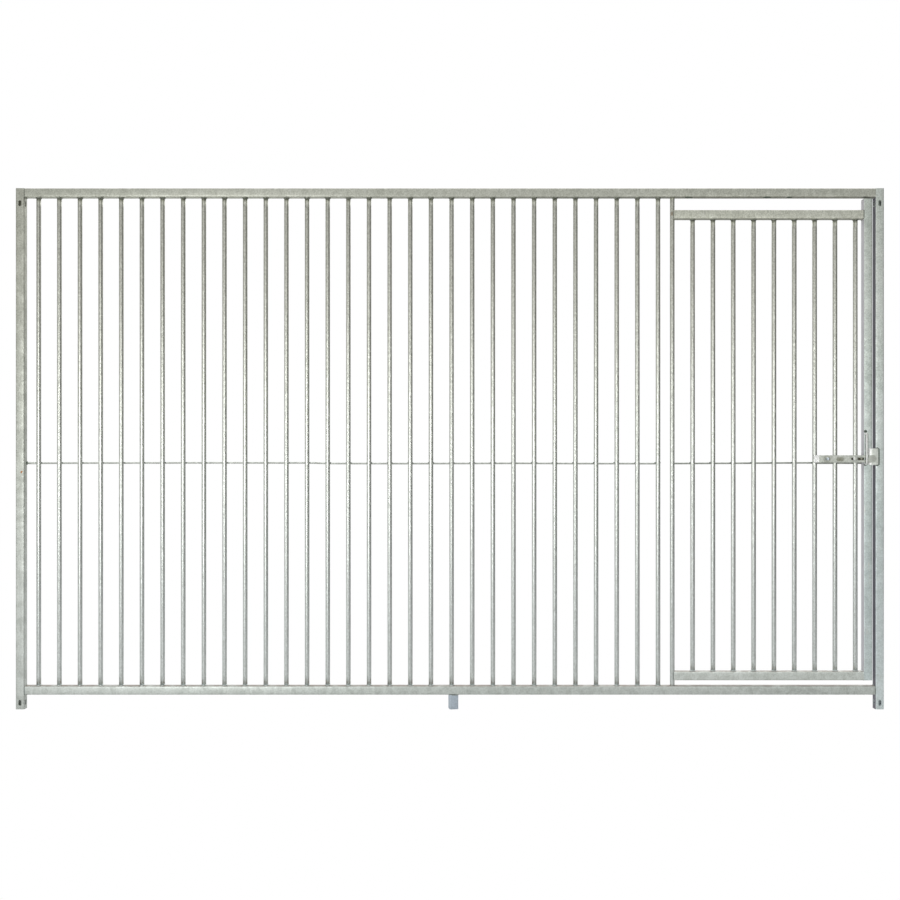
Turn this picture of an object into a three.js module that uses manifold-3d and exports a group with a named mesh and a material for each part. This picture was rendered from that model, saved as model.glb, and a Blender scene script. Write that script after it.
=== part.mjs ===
// A galvanised kennel or dog-run panel, 3 m long: square-tube frame, round upright bars,
// and at its right end a barred door that turns on a full-height pivot bar and is
// locked by a flat slide bolt. Millimetres, +Z up, front of the panel towards -Y.
// The origin is at floor level, in the middle of the panel's bounding box.

import * as THREE from "three";
import { mergeVertices } from "three/addons/utils/BufferGeometryUtils.js";
import Module from "manifold-3d";

// ---------------------------------------------------------------- driving dimensions

// Frame
const panelWidth = 3000;
const panelHeight = 1800;
const footHeight = 50; // bottom rail's underside above the floor
const tubeSide = 30; // square tube of frame, door and feet
const tubeWall = 2;
const tubeCorner = 4; // outside corner radius
const weldGap = 0.3; // between two pieces that are welded together
const middleFootOffset = 12; // right of the panel's middle
const middleFootTurn = 13; // degrees, the stub is welded on a little askew

// Bolt slots in both posts, for joining panels
const slotWidth = 10;
const slotLength = 20;
const topSlotDrop = 52; // slot centre below the post's top
const bottomSlotRise = 22.5; // slot centre above the floor

// Upright bars, round tube
const barDiameter = 16;
const barWall = 1.5;
const fixedBarCount = 31;
const firstBarInset = 45; // left post's inner face to the first bar's axis
const hingeBarSetback = 49.4; // pivot axis to the last fixed bar's axis
const doorBarCount = 9;
const lastDoorBarInset = 24.6; // last door bar's axis to the stile

// Cross rod behind the bars
const crossRodDiameter = 6;
const crossRodHeight = 852;
const crossRodLap = 4; // how far it runs past the axis of the bar it ends on

// Door
const doorwayWidth = 699; // pivot axis to the right post's inner face
const latchSideGap = 10;
const doorTopGap = 45; // frame's top rail to the door's top rail
const doorBottomGap = 20;
const stileTopGap = 6;
const pivotClearance = 0.5; // around the pivot bar in the frame rails
const pivotHeadroom = 8; // above the pivot bar, inside the top rail
const railMouthDepth = 5.5; // how far a door rail's end wraps round the pivot bar

// Keeper plate on the right post
const keeperHeight = 57;
const keeperThickness = 4;
const keeperLap = 8.5; // on the post
const keeperReach = 26; // over the gap and the stile
const keeperRise = 7.5; // its middle above the slide bolt's middle
const keeperRampWidth = 8;
const keeperLip = 1; // thickness left at the ramp's edge
const keeperCorner = 2.5;

// Slide bolt, flat bar with a long bevel at its left end
const boltAxisHeight = 865;
const boltHeight = 25;
const boltThickness = 5;
const boltLength = 219; // bevelled end to tongue
const boltClearance = 0.5; // to the keeper plate behind it
const tongueOverlap = 27; // past the keeper plate's left edge when shot
const withdrawMargin = 5; // from the keeper plate when drawn back
const boltOvershoot = 10; // further throw left in the slot
const boltBevel = 17.5; // width of the bevel
const boltLip = 1.1; // thickness left at the bevel's end
const boltLipWidth = 3;
const boltCorner = 2;
const slotClearance = 0.5; // around the necks of stud and knob pin

// Back plate that carries the slide bolt, with its pads on two door bars
const plateHeight = 20;
const plateThickness = 4;
const plateWeb = 8; // past the end of its slot
const padWidth = 16;
const padThickness = 3;

// Guide stud on the back plate, knob pin riveted into the slide bolt
const studFromStile = 33;
const studNeck = 8;
const studShoulder = 14;
const studHead = 18;
const studHeadThickness = 2;
const headDome = 1.2; // of the stud's head, past its edge
const rivetFromEnd = 47; // of the slide bolt, on the left
const rivetNeck = 8;
const rivetCollar = 12;
const knobDiameter = 10;
const knobReach = 12.9;
const knobEdge = 1; // chamfer
const rivetTail = 13;
const rivetTailThickness = 2;

// Pull handle, a bent round rod that also carries the slide bolt
const handleRod = 8;
const handleRise = 104.5; // between its two legs
const handleBend = 8; // bend radius of its axis
const handleInset = 5; // axis to the stile's left edge
const handleRunning = 1; // under the slide bolt
const handleFront = 3; // clear space between slide bolt and grip

// Facets
const barSides = 16;
const holeSides = 32;
const handleSides = 12;
const handleSteps = 40;
const cornerSteps = 4;

// ---------------------------------------------------------------- derived places

const half = tubeSide / 2;
const barRadius = barDiameter / 2;
const postX = panelWidth / 2 - half;
const postInnerX = panelWidth / 2 - tubeSide;
const topRailZ = panelHeight - half;
const bottomRailZ = footHeight + half;
const fieldBottom = footHeight + tubeSide;
const fieldTop = panelHeight - tubeSide;

const pivotX = postInnerX - doorwayWidth;
const firstBarX = -postInnerX + firstBarInset;
const lastFixedBarX = pivotX - hingeBarSetback;
const fixedPitch = (lastFixedBarX - firstBarX) / (fixedBarCount - 1);

// Door places are measured from the pivot axis.
const stileLeft = doorwayWidth - latchSideGap - tubeSide;
const doorPitch = (stileLeft - lastDoorBarInset) / doorBarCount;
const doorBottom = fieldBottom + doorBottomGap;
const doorTop = fieldTop - doorTopGap;
const crossRodY = barRadius + weldGap + crossRodDiameter / 2;

// Layers in front of the door, from the bars outwards. Front is -Y.
const padBack = -barRadius - weldGap;
const plateBack = padBack - padThickness - weldGap;
const plateFront = plateBack - plateThickness;
const keeperBack = -half - weldGap;
const keeperFront = keeperBack - keeperThickness;
const boltBack = keeperFront - boltClearance;
const boltFront = boltBack - boltThickness;

const boltTravel = tongueOverlap + withdrawMargin;
const keeperLeft = doorwayWidth - keeperReach;
const tongueTip = keeperLeft + tongueOverlap;
const boltEnd = tongueTip - boltLength;
const studX = stileLeft - studFromStile;
const rivetX = boltEnd + rivetFromEnd;

// ---------------------------------------------------------------- shapes and solids

const wasm = await Module();
wasm.setup();

const mergeTolerance = 1e-5;

// A closed mesh as a solid for cutting and joining.
function toSolid(geometry) {
  const bare = geometry.clone();
  bare.deleteAttribute("normal");
  bare.deleteAttribute("uv");
  const merged = mergeVertices(bare, mergeTolerance);
  return new wasm.Manifold(new wasm.Mesh({
    numProp: 3,
    vertProperties: merged.attributes.position.array,
    triVerts: Uint32Array.from(merged.index.array),
  }));
}

function toGeometry(solid) {
  const mesh = solid.getMesh();
  const geometry = new THREE.BufferGeometry();
  geometry.setAttribute("position", new THREE.BufferAttribute(mesh.vertProperties, 3));
  geometry.setIndex(new THREE.BufferAttribute(mesh.triVerts, 1));
  geometry.computeVertexNormals();
  return geometry;
}

function cut(geometry, tools) {
  return toGeometry(tools.reduce((solid, tool) => solid.subtract(toSolid(tool)), toSolid(geometry)));
}

function intersect(geometryA, geometryB) {
  return toGeometry(toSolid(geometryA).intersect(toSolid(geometryB)));
}

function roundedRectangle(width, height, radius) {
  const x = width / 2 - radius;
  const y = height / 2 - radius;
  const quarter = Math.PI / 2;
  const shape = new THREE.Shape();
  shape.absarc(x, y, radius, 0, quarter);
  shape.absarc(-x, y, radius, quarter, 2 * quarter);
  shape.absarc(-x, -y, radius, 2 * quarter, 3 * quarter);
  shape.absarc(x, -y, radius, 3 * quarter, 4 * quarter);
  return shape;
}

function circle(radius, sides) {
  const points = [];
  for (let i = 0; i < sides; i += 1) {
    const angle = (2 * Math.PI * i) / sides;
    points.push(new THREE.Vector2(radius * Math.cos(angle), radius * Math.sin(angle)));
  }
  return new THREE.Shape(points);
}

// A shape in X and Y, extruded upwards from z = 0.
function extrudeUp(shape, length) {
  const options = { depth: length, bevelEnabled: false, curveSegments: cornerSteps };
  return new THREE.ExtrudeGeometry(shape, options);
}

// A shape drawn as seen from the front, X and Z, extruded from y = front back to y = back.
function extrudeBack(shape, front, back) {
  const geometry = extrudeUp(shape, back - front);
  geometry.rotateX(Math.PI / 2);
  return geometry.translate(0, back, 0);
}

function squareTube(length) {
  const section = roundedRectangle(tubeSide, tubeSide, tubeCorner);
  const bore = tubeSide - 2 * tubeWall;
  section.holes.push(roundedRectangle(bore, bore, Math.max(tubeCorner - tubeWall, 0.5)));
  return extrudeUp(section, length);
}

// Square tube lying along X from x = left to x = right.
function crossTube(left, right) {
  const geometry = squareTube(right - left);
  geometry.rotateY(Math.PI / 2);
  return geometry.translate(left, 0, 0);
}

function roundTube(length) {
  const section = circle(barRadius, barSides);
  section.holes.push(circle(barRadius - barWall, barSides));
  return extrudeUp(section, length);
}

// Solid turned about the Y axis, from [y, radius] pairs that run from the front to the back.
function turned(profile) {
  return new THREE.LatheGeometry(profile.map(([y, radius]) => new THREE.Vector2(radius, y)), barSides);
}

// A slot with half-round ends.
function slotShape(left, right, height) {
  const radius = height / 2;
  const quarter = Math.PI / 2;
  const shape = new THREE.Shape();
  shape.absarc(right - radius, 0, radius, -quarter, 0);
  shape.absarc(right - radius, 0, radius, 0, quarter);
  shape.absarc(left + radius, 0, radius, quarter, 2 * quarter);
  shape.absarc(left + radius, 0, radius, 2 * quarter, 3 * quarter);
  return shape;
}

// ---------------------------------------------------------------- pieces

function zinc(colour, roughness) {
  return new THREE.MeshStandardMaterial({ color: colour, roughness, metalness: 0.7 });
}

const frameZinc = [0xb6bdb4, 0.55];
const barZinc = [0xc4cac2, 0.45];
const latchZinc = [0xb3bab0, 0.5];
const stubZinc = [0xb9c1c6, 0.4];

function addPiece(parent, name, geometry, [colour, roughness], x = 0, y = 0, z = 0) {
  const mesh = new THREE.Mesh(geometry, zinc(colour, roughness));
  mesh.name = name;
  mesh.position.set(x, y, z);
  parent.add(mesh);
  return mesh;
}

// A post's bolt slots go through it both ways, at the foot and near the top.
function post() {
  const tools = [];
  for (const height of [bottomSlotRise, panelHeight - topSlotDrop]) {
    const slot = slotShape(-slotLength / 2, slotLength / 2, slotWidth);
    const through = extrudeBack(slot, -tubeSide, tubeSide).rotateY(Math.PI / 2);
    through.translate(0, 0, height);
    tools.push(through, through.clone().rotateZ(Math.PI / 2));
  }
  return cut(squareTube(panelHeight), tools);
}

// A frame rail has one hole for the pivot bar, in the wall that faces the doorway.
function frameRail(holeZ) {
  const length = 2 * (postInnerX - weldGap);
  const hole = extrudeUp(circle(barRadius + pivotClearance, holeSides), half);
  hole.translate(pivotX, 0, holeZ);
  return cut(crossTube(-length / 2, length / 2), [hole]);
}

// A door rail's left end is notched to sit round the pivot bar.
function doorRail() {
  const tube = crossTube(barRadius - railMouthDepth, stileLeft - weldGap);
  const mouth = extrudeUp(circle(barRadius + weldGap, holeSides), 2 * tubeSide);
  mouth.translate(0, 0, -tubeSide);
  return cut(tube, [mouth]);
}

function crossRod(left, right) {
  const rod = extrudeUp(circle(crossRodDiameter / 2, barSides / 2), right - left);
  rod.rotateY(Math.PI / 2);
  return rod.translate(left, crossRodY, crossRodHeight);
}

// Plate with a ramp along its left edge, on which the bolt's tongue runs up.
function keeperPlate(left, right) {
  const section = new THREE.Shape([
    new THREE.Vector2(left, keeperBack),
    new THREE.Vector2(left, keeperBack - keeperLip),
    new THREE.Vector2(left + keeperRampWidth, keeperFront),
    new THREE.Vector2(right, keeperFront),
    new THREE.Vector2(right, keeperBack),
  ]);
  const bar = extrudeUp(section, keeperHeight).translate(0, 0, -keeperHeight / 2);
  const face = roundedRectangle(right - left, keeperHeight, keeperCorner);
  const outline = extrudeBack(face, keeperFront - 1, keeperBack + 1);
  outline.translate((left + right) / 2, 0, 0);
  return intersect(bar, outline);
}

// Plan view of the flat bar, its left end bevelled from the front.
function boltPlan() {
  const bevelFoot = boltEnd + boltLipWidth;
  return new THREE.Shape([
    new THREE.Vector2(boltEnd, boltBack),
    new THREE.Vector2(boltEnd, boltBack - boltLip),
    new THREE.Vector2(bevelFoot, boltBack - boltLip),
    new THREE.Vector2(bevelFoot + boltBevel, boltFront),
    new THREE.Vector2(tongueTip, boltFront),
    new THREE.Vector2(tongueTip, boltBack),
  ]);
}

// Front view of the same bar: round tongue, guide slot, hole for the knob pin.
function boltFace() {
  const top = boltHeight / 2;
  const roundX = tongueTip - top;
  const cornerX = boltEnd + boltCorner;
  const cornerZ = top - boltCorner;
  const face = new THREE.Shape();
  face.moveTo(cornerX, -top);
  face.lineTo(roundX, -top);
  face.absarc(roundX, 0, top, -Math.PI / 2, 0, false);
  face.absarc(roundX, 0, top, 0, Math.PI / 2, false);
  face.lineTo(cornerX, top);
  face.absarc(cornerX, cornerZ, boltCorner, Math.PI / 2, Math.PI, false);
  face.absarc(cornerX, -cornerZ, boltCorner, Math.PI, 1.5 * Math.PI, false);
  const neck = studNeck / 2 + slotClearance;
  const slotLeft = studX - neck - boltOvershoot;
  const slotRight = studX + neck + boltTravel;
  face.holes.push(slotShape(slotLeft, slotRight, 2 * neck));
  const rivetHole = circle(rivetNeck / 2 + weldGap, barSides).getPoints();
  face.holes.push(new THREE.Path(rivetHole.map((p) => new THREE.Vector2(p.x + rivetX, p.y))));
  return face;
}

function slideBolt() {
  const bar = extrudeUp(boltPlan(), boltHeight).translate(0, 0, -boltHeight / 2);
  const outline = extrudeBack(boltFace(), boltFront - 1, boltBack + 1);
  return intersect(bar, outline);
}

// Back plate with the slot that the knob pin's neck runs in.
function latchPlate() {
  const neck = rivetNeck / 2 + slotClearance;
  const slotLeft = rivetX - neck - boltTravel;
  const slotRight = rivetX + neck + boltOvershoot;
  const left = slotLeft - plateWeb;
  const right = stileLeft - weldGap;
  const face = new THREE.Shape([
    new THREE.Vector2(left, -plateHeight / 2),
    new THREE.Vector2(right, -plateHeight / 2),
    new THREE.Vector2(right, plateHeight / 2),
    new THREE.Vector2(left, plateHeight / 2),
  ]);
  face.holes.push(slotShape(slotLeft, slotRight, 2 * neck));
  return extrudeBack(face, plateFront, plateBack);
}

function platePad() {
  return extrudeBack(roundedRectangle(padWidth, plateHeight, 1), padBack - padThickness, padBack);
}

function guideStud() {
  const seat = plateFront - weldGap;
  const shoulder = boltBack + weldGap;
  const head = boltFront - weldGap;
  const headEdge = head - studHeadThickness;
  return turned([
    [headEdge - headDome, 0],
    [headEdge - headDome, studHead / 4],
    [headEdge - headDome / 2, studHead / 2 - headDome],
    [headEdge, studHead / 2],
    [head, studHead / 2],
    [head, studNeck / 2],
    [shoulder, studNeck / 2],
    [shoulder, studShoulder / 2],
    [seat, studShoulder / 2],
    [seat, 0],
  ]);
}

// The knob pin: grip in front of the slide bolt, collar between bar and plate, riveted tail.
function slideRivet() {
  const tail = plateBack + weldGap;
  const collarBack = plateFront - weldGap;
  const collarFront = boltBack + weldGap;
  const head = boltFront - weldGap;
  const knobTip = head - knobReach;
  return turned([
    [knobTip, 0],
    [knobTip, knobDiameter / 2 - knobEdge],
    [knobTip + knobEdge, knobDiameter / 2],
    [head, knobDiameter / 2],
    [head, rivetNeck / 2],
    [collarFront, rivetNeck / 2],
    [collarFront, rivetCollar / 2],
    [collarBack, rivetCollar / 2],
    [collarBack, rivetNeck / 2],
    [tail, rivetNeck / 2],
    [tail, rivetTail / 2],
    [tail + rivetTailThickness, rivetTail / 2 - rivetTailThickness / 2],
    [tail + rivetTailThickness, 0],
  ]);
}

// Round rod bent to a flat loop, its two legs standing on the stile.
function pullHandle() {
  const seat = -half - weldGap;
  const grip = boltFront - handleFront - handleRod / 2;
  const bendStart = grip + handleBend;
  const hand = (4 / 3) * (Math.SQRT2 - 1) * handleBend;
  const at = (y, z) => new THREE.Vector3(0, y, z);
  const top = handleRise;
  const axis = new THREE.CurvePath();
  axis.add(new THREE.LineCurve3(at(seat, 0), at(bendStart, 0)));
  axis.add(new THREE.CubicBezierCurve3(
    at(bendStart, 0), at(bendStart - hand, 0), at(grip, handleBend - hand), at(grip, handleBend),
  ));
  axis.add(new THREE.LineCurve3(at(grip, handleBend), at(grip, top - handleBend)));
  axis.add(new THREE.CubicBezierCurve3(
    at(grip, top - handleBend), at(grip, top - handleBend + hand), at(bendStart - hand, top), at(bendStart, top),
  ));
  axis.add(new THREE.LineCurve3(at(bendStart, top), at(seat, top)));
  const options = { steps: handleSteps, bevelEnabled: false, extrudePath: axis };
  return new THREE.ExtrudeGeometry(circle(handleRod / 2, handleSides), options);
}

// ---------------------------------------------------------------- assembly

function twoDigits(number) {
  return String(number).padStart(2, "0");
}

function buildFrame(panel) {
  addPiece(panel, "left_post", post(), frameZinc, -postX);
  addPiece(panel, "right_post", post(), frameZinc, postX);
  addPiece(panel, "top_rail", frameRail(-half), frameZinc, 0, 0, topRailZ);
  addPiece(panel, "bottom_rail", frameRail(0), frameZinc, 0, 0, bottomRailZ);
  const stub = addPiece(panel, "middle_foot", squareTube(footHeight - weldGap), stubZinc, middleFootOffset);
  stub.rotation.z = THREE.MathUtils.degToRad(middleFootTurn);
}

function buildFixedField(panel) {
  const length = fieldTop - fieldBottom - 2 * weldGap;
  for (let i = 0; i < fixedBarCount; i += 1) {
    const x = firstBarX + i * fixedPitch;
    addPiece(panel, `fixed_bar_${twoDigits(i + 1)}`, roundTube(length), barZinc, x, 0, fieldBottom + weldGap);
  }
  const rod = crossRod(-postInnerX + weldGap, lastFixedBarX + crossRodLap);
  addPiece(panel, "panel_cross_rod", rod, barZinc);
}

function buildKeeper(panel) {
  const plate = keeperPlate(postInnerX - keeperReach, postInnerX + keeperLap);
  addPiece(panel, "keeper_plate", plate, latchZinc, 0, 0, boltAxisHeight + keeperRise);
}

function buildDoor() {
  const door = new THREE.Group();
  const pivotFoot = footHeight + tubeWall + weldGap;
  const pivotHead = panelHeight - tubeWall - pivotHeadroom;
  addPiece(door, "pivot_bar", roundTube(pivotHead - pivotFoot), barZinc, 0, 0, pivotFoot);
  addPiece(door, "door_top_rail", doorRail(), frameZinc, 0, 0, doorTop - half);
  addPiece(door, "door_bottom_rail", doorRail(), frameZinc, 0, 0, doorBottom + half);
  const stileLength = fieldTop - stileTopGap - doorBottom;
  addPiece(door, "door_stile", squareTube(stileLength), frameZinc, stileLeft + half, 0, doorBottom);
  const barBottom = doorBottom + tubeSide + weldGap;
  const barTop = doorTop - tubeSide - weldGap;
  for (let i = 1; i <= doorBarCount; i += 1) {
    addPiece(door, `door_bar_${i}`, roundTube(barTop - barBottom), barZinc, i * doorPitch, 0, barBottom);
  }
  addPiece(door, "door_cross_rod", crossRod(-crossRodLap, stileLeft - weldGap), barZinc);
  return door;
}

function buildLatch(door) {
  const latch = new THREE.Group();
  latch.position.z = boltAxisHeight;
  door.add(latch);
  addPiece(latch, "latch_plate", latchPlate(), latchZinc);
  addPiece(latch, "plate_pad_1", platePad(), latchZinc, (doorBarCount - 1) * doorPitch);
  addPiece(latch, "plate_pad_2", platePad(), latchZinc, doorBarCount * doorPitch);
  addPiece(latch, "guide_stud", guideStud(), latchZinc, studX);
  const handleFoot = -boltHeight / 2 - handleRunning - handleRod / 2;
  addPiece(latch, "pull_handle", pullHandle(), latchZinc, stileLeft + handleInset, 0, handleFoot);
  addPiece(latch, "slide_bolt", slideBolt(), latchZinc);
  addPiece(latch, "slide_rivet", slideRivet(), latchZinc, rivetX);
}

const panel = new THREE.Group();
buildFrame(panel);
buildFixedField(panel);
buildKeeper(panel);

const door = buildDoor();
door.position.x = pivotX;
buildLatch(door);
panel.add(door);

// The latch stands out in front, so the tubes' middle plane lies a little behind the origin.
const box = new THREE.Box3().setFromObject(panel, true);
panel.position.y = -(box.min.y + box.max.y) / 2;

export default panel;
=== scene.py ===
"""Looks of a hot-dip galvanised kennel panel with a barred door and a flat slide bolt.

Metres, +Z up, front towards -Y. Every place on the object is read from the frame's own solids
or set off from one of them, but for the drips along the top rail.
"""
import math
import random
from collections import namedtuple

import bmesh
import bpy
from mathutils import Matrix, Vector


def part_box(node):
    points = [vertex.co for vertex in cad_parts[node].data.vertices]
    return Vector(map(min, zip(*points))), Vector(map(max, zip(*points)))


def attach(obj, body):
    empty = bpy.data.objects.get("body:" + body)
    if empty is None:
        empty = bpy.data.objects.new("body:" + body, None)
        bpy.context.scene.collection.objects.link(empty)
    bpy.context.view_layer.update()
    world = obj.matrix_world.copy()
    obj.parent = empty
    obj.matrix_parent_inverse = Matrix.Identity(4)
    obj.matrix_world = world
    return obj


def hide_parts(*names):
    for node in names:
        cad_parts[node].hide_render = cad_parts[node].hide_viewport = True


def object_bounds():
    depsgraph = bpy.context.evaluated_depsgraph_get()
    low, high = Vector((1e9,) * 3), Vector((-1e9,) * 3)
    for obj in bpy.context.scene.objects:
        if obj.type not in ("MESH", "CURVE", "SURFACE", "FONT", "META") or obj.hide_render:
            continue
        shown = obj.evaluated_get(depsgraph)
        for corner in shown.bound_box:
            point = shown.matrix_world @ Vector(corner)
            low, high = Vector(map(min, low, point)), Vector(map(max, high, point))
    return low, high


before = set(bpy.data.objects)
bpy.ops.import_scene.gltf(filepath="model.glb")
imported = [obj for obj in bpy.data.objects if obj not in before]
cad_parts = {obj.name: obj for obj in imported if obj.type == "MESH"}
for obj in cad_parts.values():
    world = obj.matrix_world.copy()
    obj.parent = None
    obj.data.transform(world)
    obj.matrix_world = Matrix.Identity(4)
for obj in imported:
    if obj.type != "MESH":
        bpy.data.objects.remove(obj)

cad_low, cad_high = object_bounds()
MM = 0.001
top_rail_low, top_rail_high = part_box("top_rail")
FRONT_FACES_Y = top_rail_low.y
TUBE_SIDE = top_rail_high.z - top_rail_low.z
TUBE_CORNER = 4 * MM
BAR_RADIUS = (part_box("pivot_bar")[1].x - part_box("pivot_bar")[0].x) / 2


# ---------------------------------------------------------------- nodes, shared by all trees

class Wiring:
    """Short ways to put nodes into one tree and wire them."""

    def __init__(self, tree):
        self.tree = tree

    def node(self, kind, **settings):
        made = self.tree.nodes.new(kind)
        for name, value in settings.items():
            setattr(made, name, value)
        return made

    def feed(self, socket, value):
        """A socket gets a wire, or a plain value of its own."""
        if isinstance(value, bpy.types.NodeSocket):
            self.tree.links.new(value, socket)
        else:
            socket.default_value = value

    def maths(self, operation, a, b=0.0, c=None):
        made = self.node("ShaderNodeMath", operation=operation)
        self.feed(made.inputs[0], a)
        self.feed(made.inputs[1], b)
        if c is not None:
            self.feed(made.inputs[2], c)
        return made.outputs[0]

    def vector_maths(self, operation, a, b=None, scale=None):
        made = self.node("ShaderNodeVectorMath", operation=operation)
        self.feed(made.inputs[0], a)
        if b is not None:
            self.feed(made.inputs[1], b)
        if scale is not None:
            self.feed(made.inputs["Scale"], scale)
        gives_number = operation in ("DISTANCE", "DOT_PRODUCT")
        return made.outputs["Value" if gives_number else "Vector"]

    def along(self, vector, axis):
        """One coordinate of a vector: X, Y or Z."""
        made = self.node("ShaderNodeSeparateXYZ")
        self.feed(made.inputs[0], vector)
        return made.outputs[axis]

    def noise(self, vector, scale, detail=2.0, roughness=0.5, distortion=0.0):
        made = self.node("ShaderNodeTexNoise")
        self.feed(made.inputs["Vector"], vector)
        for name, value in (("Scale", scale), ("Detail", detail), ("Roughness", roughness),
                            ("Distortion", distortion)):
            self.feed(made.inputs[name], value)
        return made.outputs["Fac"]

    def step(self, value, low, high, to_low=0.0, to_high=1.0):
        """Smooth step of a value from low to high."""
        made = self.node("ShaderNodeMapRange", interpolation_type="SMOOTHSTEP")
        self.feed(made.inputs["Value"], value)
        for name, number in (("From Min", low), ("From Max", high),
                             ("To Min", to_low), ("To Max", to_high)):
            self.feed(made.inputs[name], number)
        return made.outputs["Result"]

    def mix(self, factor, a, b, blend="MIX"):
        made = self.node("ShaderNodeMix", data_type="RGBA", blend_type=blend)
        self.feed(made.inputs["Factor"], factor)
        self.feed(made.inputs[6], rgba(a))
        self.feed(made.inputs[7], rgba(b))
        return made.outputs[2]


def rgba(colour):
    if isinstance(colour, bpy.types.NodeSocket) or len(colour) == 4:
        return colour
    return (*colour, 1.0)


# ---------------------------------------------------------------- finishes
# Noise scales are in cells per metre.

WHITE = (1.0, 1.0, 1.0, 1.0)
SPECK = (0.52, 0.53, 0.49)
RUN = (0.42, 0.42, 0.35)
SCRATCH = (0.80, 0.82, 0.77)
# Brown for dusty faces that turn up, darkened there as painted shade too.
DUST_AND_SHADE = (0.27, 0.21, 0.17)
RUST = (0.36, 0.13, 0.03)
WELD_STAIN = (0.30, 0.20, 0.11)
OLIVE_STAIN = (0.20, 0.20, 0.13)
NEAR_BLACK = (0.10, 0.10, 0.08)
DARK_DISC = (0.42, 0.43, 0.39)
CLEAN = (0.66, 0.68, 0.63)
# A lighter spot in the back plate's painted shade.
LIGHTER_PLATE = (0.62, 0.62, 0.52)
# Painted shade, for the gap between the stile and the right post and for a speck at the bolt's
# bevel.
SHADE = (0.22, 0.205, 0.25)
# Painted reflection: a dull purple-grey for the stile's left side.
PAINTED_PURPLE_REFLECTION = (0.72, 0.71, 0.75)
# Whitened, for painted highlights on faces turned left.
PAINTED_HIGHLIGHT = (0.97, 0.98, 0.96)
# Painted light: cooler colour at the foot, warmer at the top.
WARM_TOP_LIGHT, COOL_FLOOR_LIGHT = (1.01, 1.0, 0.965), (0.975, 1.01, 1.06)

CLOUD_SHARE, CRYSTAL_SHARE, GRAIN_SHARE = 0.62, 0.24, 0.16
SCRATCH_SLANT = math.radians(52)
LEFT_PAINT_COVER, LEFT_PAINT_BLEND = 0.95, 0.08  # how much of the painted light or shade on left faces shows, and how fast it sets in
SPOT_FRAY, SPOT_CORE, SPOT_EDGE = 0.7, 0.85, 1.45  # shares of a spot's radius

# Round spots: real marks, and painted shade.
Spot = namedtuple("Spot", "x y z radius colour strength")
# Painted light or shade on what faces left: its colour, least slope, metallic and roughness.
LeftPaintedLight = namedtuple("LeftPaintedLight", "colour slope metallic roughness")


def coat_tone(w, place, patch, grain):
    """How light the coat is from place to place: clouds, crystals and grain."""
    clouds = w.step(w.noise(place, 1 / patch, 3.0, 0.6, 0.6), 0.33, 0.67)
    crystals = w.node("ShaderNodeTexVoronoi", feature="F1")
    w.feed(crystals.inputs["Vector"], place)
    w.feed(crystals.inputs["Scale"], 1.6 / patch)
    crystal_tone = w.node("ShaderNodeSeparateColor")
    w.feed(crystal_tone.inputs[0], crystals.outputs["Color"])
    tone = w.maths("MULTIPLY_ADD", clouds, CLOUD_SHARE,
                   w.maths("MULTIPLY", crystal_tone.outputs[0], CRYSTAL_SHARE))
    return w.maths("ADD", tone, w.maths("MULTIPLY", grain, GRAIN_SHARE))


def speckled(w, colour, place, amount):
    """Small dark specks, stronger in the upper half."""
    specks = w.step(w.noise(place, 190.0, 2.0, 0.65), 0.36, 0.64)
    share = w.step(w.along(place, "Z"), 0.8, 1.3, amount, 1.6 * amount)
    return w.mix(w.maths("MULTIPLY", specks, share), colour, SPECK, "MULTIPLY")


def light_tinted(w, colour, place):
    """Painted light: a little cooler at the foot than at the top, for bluish light off the floor
    and warm light from above.
    """
    light_tint = w.mix(w.step(w.along(place, "Z"), 0.1, 1.7), COOL_FLOOR_LIGHT, WARM_TOP_LIGHT)
    return w.mix(1.0, colour, light_tint, "MULTIPLY")


def toned(w, colour, place, amount):
    """Slow change of lightness over the length of a tube."""
    slow = w.step(w.noise(place, 1.9, 1.0, 0.5), 0.30, 0.70)
    return w.mix(w.maths("MULTIPLY", slow, amount), colour, WHITE, "SOFT_LIGHT")


def streaked(w, colour, place, amount):
    """Thin dark runs along the uprights."""
    drawn = w.node("ShaderNodeMapping")
    w.feed(drawn.inputs["Vector"], place)
    drawn.inputs["Scale"].default_value = (1.0, 1.0, 0.07)
    run = w.step(w.noise(drawn.outputs[0], 420.0, 3.0, 0.6), 0.42, 0.68)
    return w.mix(w.maths("MULTIPLY", run, amount), colour, RUN, "MULTIPLY")


def scratched(w, colour, place, amount):
    """Fields of light slanting scratches."""
    turned = w.node("ShaderNodeMapping")
    w.feed(turned.inputs["Vector"], place)
    turned.inputs["Rotation"].default_value = (0.0, SCRATCH_SLANT, 0.0)
    turned.inputs["Scale"].default_value = (1.0, 1.0, 0.09)
    lines = w.step(w.noise(turned.outputs[0], 360.0, 2.0, 0.5), 0.54, 0.72)
    field = w.step(w.noise(place, 21.0, 1.0), 0.48, 0.62)
    mask = w.maths("MULTIPLY", w.maths("MULTIPLY", lines, field), amount)
    return w.mix(mask, colour, SCRATCH)


def dust_and_top_shade(w, place, facing, amount):
    """Where faces are dusty and carry painted shade: unevenly, on what faces up."""
    flat = w.step(w.along(facing, "Z"), 0.55, 0.95)
    uneven = w.step(w.noise(place, 34.0, 3.0, 0.6), 0.25, 0.62, 0.35, 1.0)
    return w.maths("MULTIPLY", w.maths("MULTIPLY", flat, uneven), amount)


def marked(w, colour, place, mark):
    """A round spot with a frayed edge, for real marks and for painted shade."""
    away = w.vector_maths("DISTANCE", place, (mark.x, mark.y, mark.z))
    frayed = w.maths("ADD", away,
                     w.maths("MULTIPLY", w.noise(place, 260.0), SPOT_FRAY * mark.radius))
    spot = w.step(frayed, SPOT_CORE * mark.radius, SPOT_EDGE * mark.radius,
                  mark.strength, 0.0)
    return w.mix(spot, colour, mark.colour)


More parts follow.
